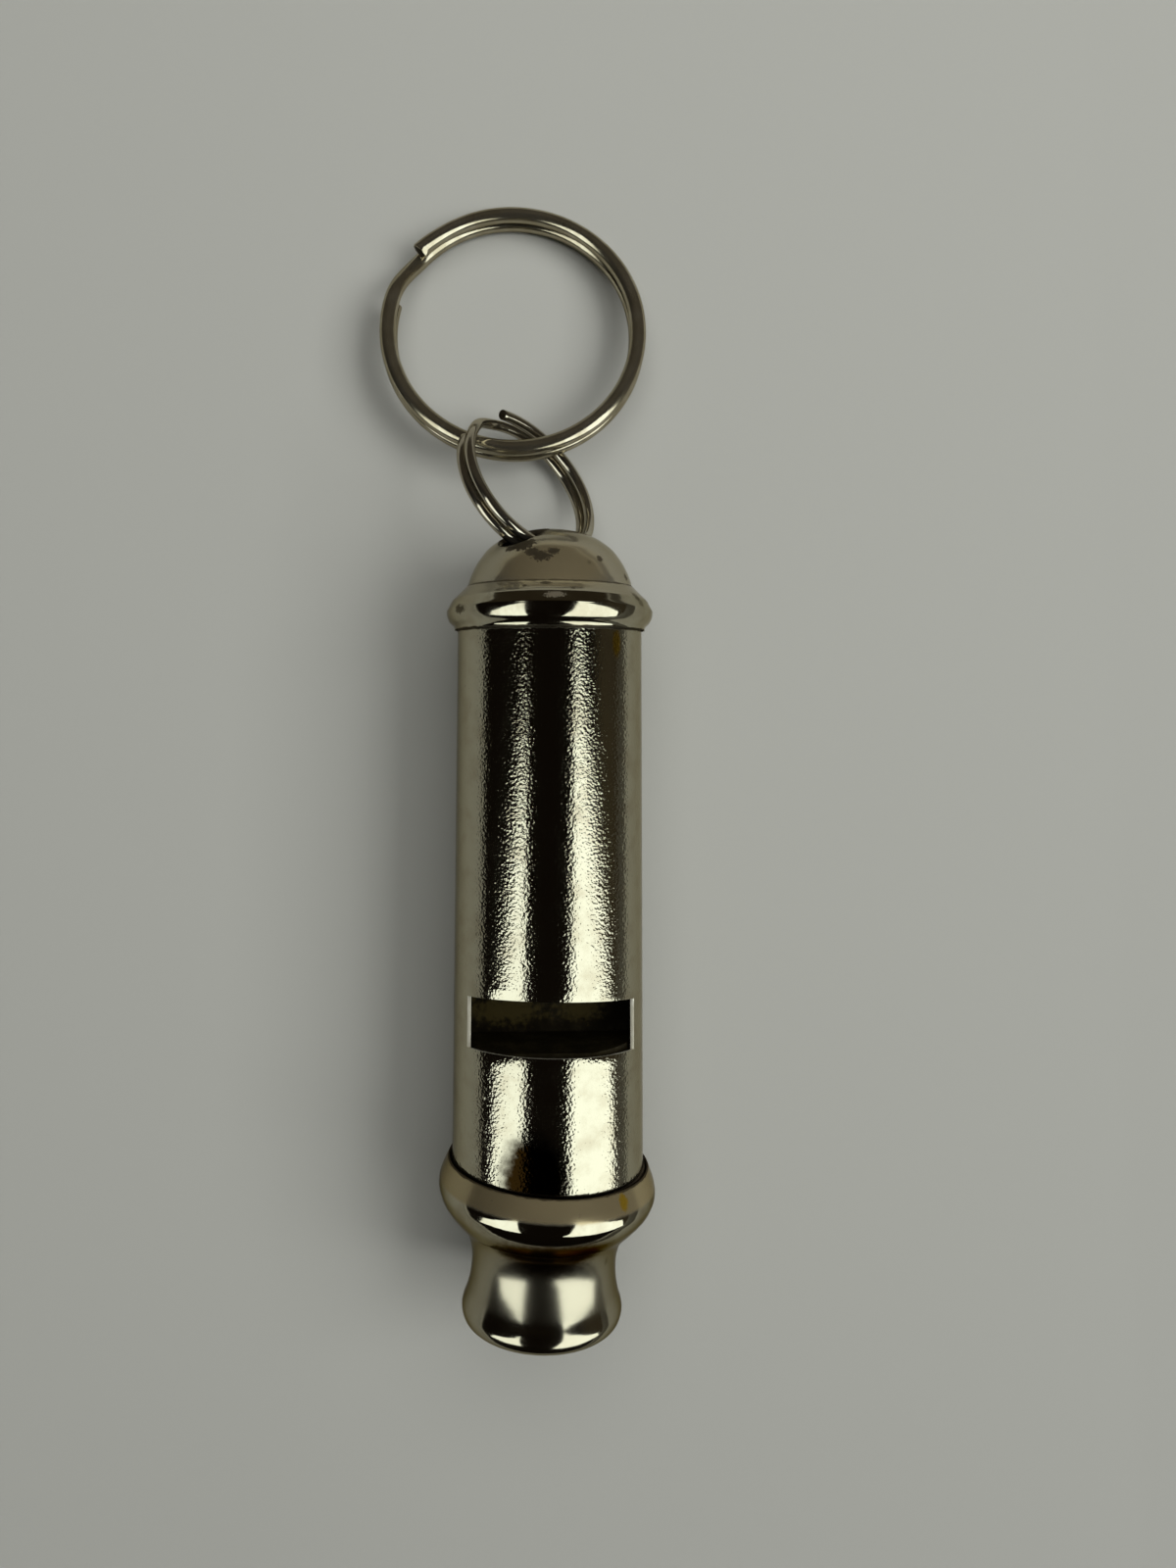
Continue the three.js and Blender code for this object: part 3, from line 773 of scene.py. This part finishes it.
def make_mouthpiece():
    outer = smooth_line(MOUTHPIECE_BEAD) + smooth_line(NECK_AND_LIP)
    inside = BORE + smooth_line(THROAT)
    inside += [SOCKET_FLOOR, (MOUTHPIECE_SOCKET_RADIUS, SOCKET_FLOOR[1]),
               (MOUTHPIECE_SOCKET_RADIUS, MOUTHPIECE_TOP)]
    bm = spun(outer + inside)
    round_sharp_edges(bm, EDGE_ROUNDING)
    for vert in bm.verts:
        share = min(max((vert.co.y - WAIST) / (MOUTHPIECE_PIVOT - WAIST), 0), 1)
        vert.co.y -= vert.co.x * math.tan(BEAD_LEAN) * ease(share)
    pivot = Matrix.Translation((0, MOUTHPIECE_PIVOT, 0))
    skew = pivot @ Matrix.Rotation(MOUTHPIECE_SKEW, 4, "Z") @ pivot.inverted()
    finish_piece("turned_mouthpiece", bm, TO_WHISTLE @ skew, "whistle", "mouthpiece",
                 [MOUTHPIECE_PLATE])


def make_split_ring(name, body, node, place, material, mean, wire, rise, top, start, joggle,
                    sprung, sprung_over):
    """Two turns of wire: one on top, a joggle down, and one underneath."""
    bm = bmesh.new()
    made = bmesh.ops.create_circle(bm, cap_ends=False, radius=wire / 2, segments=WIRE_SIDES)
    stand = Matrix.Translation((mean, 0, top)) @ Matrix.Rotation(math.pi / 2, 4, "X")
    turn = Matrix.Rotation(start, 4, "Z")
    bmesh.ops.transform(bm, matrix=turn @ stand, verts=made["verts"])
    first_edges = list(bm.edges)
    section = list(bm.verts) + first_edges

    def sweep(section, angle, steps, fall=0.0):
        result = bmesh.ops.spin(bm, geom=section, cent=(0, 0, 0), axis=(0, 0, -1), angle=angle,
                                steps=steps, dvec=(0, 0, -fall / steps))
        return [g for g in result["geom_last"] if not isinstance(g, bmesh.types.BMFace)]

    section = sweep(section, 2 * math.pi - joggle, RING_STEPS)
    for step in range(JOGGLE_STEPS):
        fall = rise * (ease((step + 1) / JOGGLE_STEPS) - ease(step / JOGGLE_STEPS))
        section = sweep(section, joggle / JOGGLE_STEPS, 1, fall)
    section = sweep(section, 2 * math.pi - joggle, RING_STEPS)
    for vert in bm.verts:
        past = (start - math.atan2(vert.co.y, vert.co.x)) % (2 * math.pi) / sprung_over
        if vert.co.z > top - rise / 2 and past < 1:
            outward = Vector((vert.co.x, vert.co.y, 0)).normalized()
            vert.co += outward * sprung * (1 - past) ** 2
    last_edges = [g for g in section if isinstance(g, bmesh.types.BMEdge)]
    for edges in (first_edges, last_edges):
        bmesh.ops.contextual_create(bm, geom=edges)
    bmesh.ops.recalc_face_normals(bm, faces=bm.faces)
    round_sharp_edges(bm, wire * WIRE_END_ROUNDING, SHARP_WIRE_EDGE)
    finish_piece(name, bm, place @ Matrix.Scale(MM, 4), body, node,
                 [material, WIRE_END], lambda face: int(len(face.verts) > WIRE_SIDE_CORNERS))


def ring_place(centre, axes):
    turn = Matrix(axes).transposed().to_4x4()
    return Matrix.Translation(Vector(centre) * MM) @ turn


make_barrel()
make_cap()
make_mouthpiece()
make_split_ring("small_ring_wire", "small_ring", "small_split_ring",
                ring_place(SMALL_RING_CENTRE, SMALL_RING_AXES), SMALL_WIRE, **SMALL_RING)
make_split_ring("key_ring_wire", "large_ring", "key_ring",
                ring_place(KEY_RING_CENTRE, KEY_RING_AXES), KEY_WIRE, **KEY_RING)

# Pieces inside the whistle and in its joints, which keep their solids
for node, material in {
    "divider_plate": DIVIDER_PAINTED_SHADE_AND_LIGHT,
    "front_windway_block": CHAMBER_BRASS_PAINTED_SHADE,
    "rear_windway_block": CHAMBER_BRASS_PAINTED_SHADE,
    "front_chamber_stop": CHAMBER_BRASS_PAINTED_SHADE,
    "rear_chamber_stop": CHAMBER_BRASS_PAINTED_SHADE,
    "cap_solder": JOINT_SOLDER,
    "mouthpiece_solder": JOINT_SOLDER,
}.items():
    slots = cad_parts[node].data.materials
    slots.clear()
    slots.append(material)


# Stage: floor, dark sheet, lamps, dim room and camera

def make_floor():
    """A cloth that fades into the backdrop."""
    bm = bmesh.new()
    bmesh.ops.create_grid(bm, x_segments=1, y_segments=1, size=FLOOR_HALF)
    floor = new_object("floor", bm)
    material, tree, shader = new_material("floor_cloth", 0.0, CLOTH_ROUGHNESS, FLOOR_COLOUR)
    away = vector_node(tree, "LENGTH", object_coords(tree))
    feed(tree, map_range(tree, away, *FLOOR_FADE, 1.0, 0.0), shader["Alpha"])
    floor.data.materials.append(material)


def make_dark_sheet():
    """A dark sheet on the floor, to the right of the picture, that only reflections show."""
    bm = bmesh.new()
    bmesh.ops.create_grid(bm, x_segments=1, y_segments=1, size=FLOOR_HALF)
    bmesh.ops.transform(bm, matrix=Matrix.Translation(SHEET_SPOT), verts=bm.verts)
    sheet = new_object("dark_sheet", bm)
    material = new_material("sheet_black", 0.0, CLOTH_ROUGHNESS, SHEET_COLOUR)[0]
    sheet.data.materials.append(material)
    # Seen only in reflections, it gives the metal's right side a dark reflection; the floor the
    # camera sees there stays pale
    sheet.visible_camera = sheet.visible_diffuse = sheet.visible_shadow = False


def softbox(name, corner, across, down, width, height, radiance, in_reflections=True):
    """A rectangular lamp from one corner along two directions, that shows or that lights."""
    across = Vector(across).normalized()
    down = Vector(down)
    down = (down - across * down.dot(across)).normalized()
    centre = Vector(corner) + across * width / 2 + down * height / 2
    normal = across.cross(down)
    if normal.dot(centre) < 0:
        across, normal = -across, -normal
    lamp = bpy.data.lights.new(name, "AREA")
    lamp.shape = "RECTANGLE"
    lamp.size = width
    lamp.size_y = height
    lamp.energy = radiance * math.pi * width * height
    lamp.color = DAYLIGHT if in_reflections else WHITE_LIGHT
    holder = bpy.data.objects.new(name, lamp)
    turn = Matrix((across, down, normal)).transposed().to_4x4()
    holder.matrix_world = Matrix.Translation(centre) @ turn
    holder.visible_camera = False
    holder.visible_glossy = in_reflections
    holder.visible_diffuse = not in_reflections
    bpy.context.scene.collection.objects.link(holder)


def make_lights():
    softbox("right_softbox", corner=Vector((0.57, 0.06, 1.0)) * REACH,
            across=(0.92, -0.37, -0.17), down=(-0.42, -0.75, -0.40),
            width=2.8 * REACH, height=1.0 * REACH, radiance=2.55)
    softbox("left_softbox", corner=Vector((-0.52, -0.035, 1.0)) * REACH,
            across=(-0.90, -0.44, 0.0), down=(0.30, -0.66, -0.66),
            width=2.2 * REACH, height=0.8 * REACH, radiance=2.35)
    softbox("right_key", corner=(0.50, -0.37, 1.0),
            across=(0.76, 0.0, -0.62), down=(0, 1, 0),
            width=0.6, height=0.7, radiance=5.9, in_reflections=False)
    softbox("overhead_fill", corner=(-0.18, -0.04, 0.4),
            across=(1, 0, 0), down=(0, 1, 0),
            width=0.5, height=0.5, radiance=1.86, in_reflections=False)


def make_room():
    """A dim room with two warm walls, and a pale backdrop low all round and behind the whistle."""
    world = bpy.data.worlds.new("dim_room")
    bpy.context.scene.world = world
    world.use_nodes = True
    tree = world.node_tree
    towards = add_node(tree, "ShaderNodeSeparateXYZ")
    feed(tree, add_node(tree, "ShaderNodeTexCoord").outputs["Generated"], towards.inputs[0])
    far_wall = map_range(tree, towards.outputs["Y"], *FAR_WALL_EDGE)
    low_down = map_range(tree, towards.outputs["Z"], *HORIZON_EDGE, 1.0, 0.0)
    right_wall = map_range(tree, towards.outputs["X"], *RIGHT_WALL_EDGE)
    colour = mix_colour(tree, far_wall, ROOM_DARK, FAR_WALL)
    colour = mix_colour(tree, low_down, colour, BACKDROP_COLOUR)
    colour = mix_colour(tree, right_wall, colour, RIGHT_WALL)
    seen = add_node(tree, "ShaderNodeLightPath").outputs["Is Camera Ray"]
    colour = mix_colour(tree, seen, colour, BACKDROP_COLOUR)
    feed(tree, colour, tree.nodes["Background"].inputs["Color"])


def make_camera():
    lens = bpy.data.cameras.new("camera")
    lens.sensor_width = SENSOR_WIDTH
    lens.lens = SENSOR_WIDTH * FOCAL_PIXELS / PICTURE_HEIGHT
    lens.shift_y = PICTURE_SHIFT
    lens.clip_start = NEAREST_SEEN
    lens.clip_end = FARTHEST_SEEN
    camera = bpy.data.objects.new("camera", lens)
    spot = Vector((
        WHISTLE_ORIGIN.x + CAMERA_ASIDE * MM,
        WHISTLE_ORIGIN.y + CAMERA_BELOW_JOINT * MM,
        CAMERA_HEIGHT * MM,
    ))
    turn = Matrix.Identity(4)
    for axis, degrees in CAMERA_TURNS:
        turn = turn @ Matrix.Rotation(math.radians(degrees), 4, axis)
    camera.matrix_world = Matrix.Translation(spot) @ turn
    bpy.context.scene.collection.objects.link(camera)
    bpy.context.scene.camera = camera


make_floor()
make_dark_sheet()
make_lights()
make_room()
make_camera()
bpy.context.scene.view_settings.view_transform = "Standard"
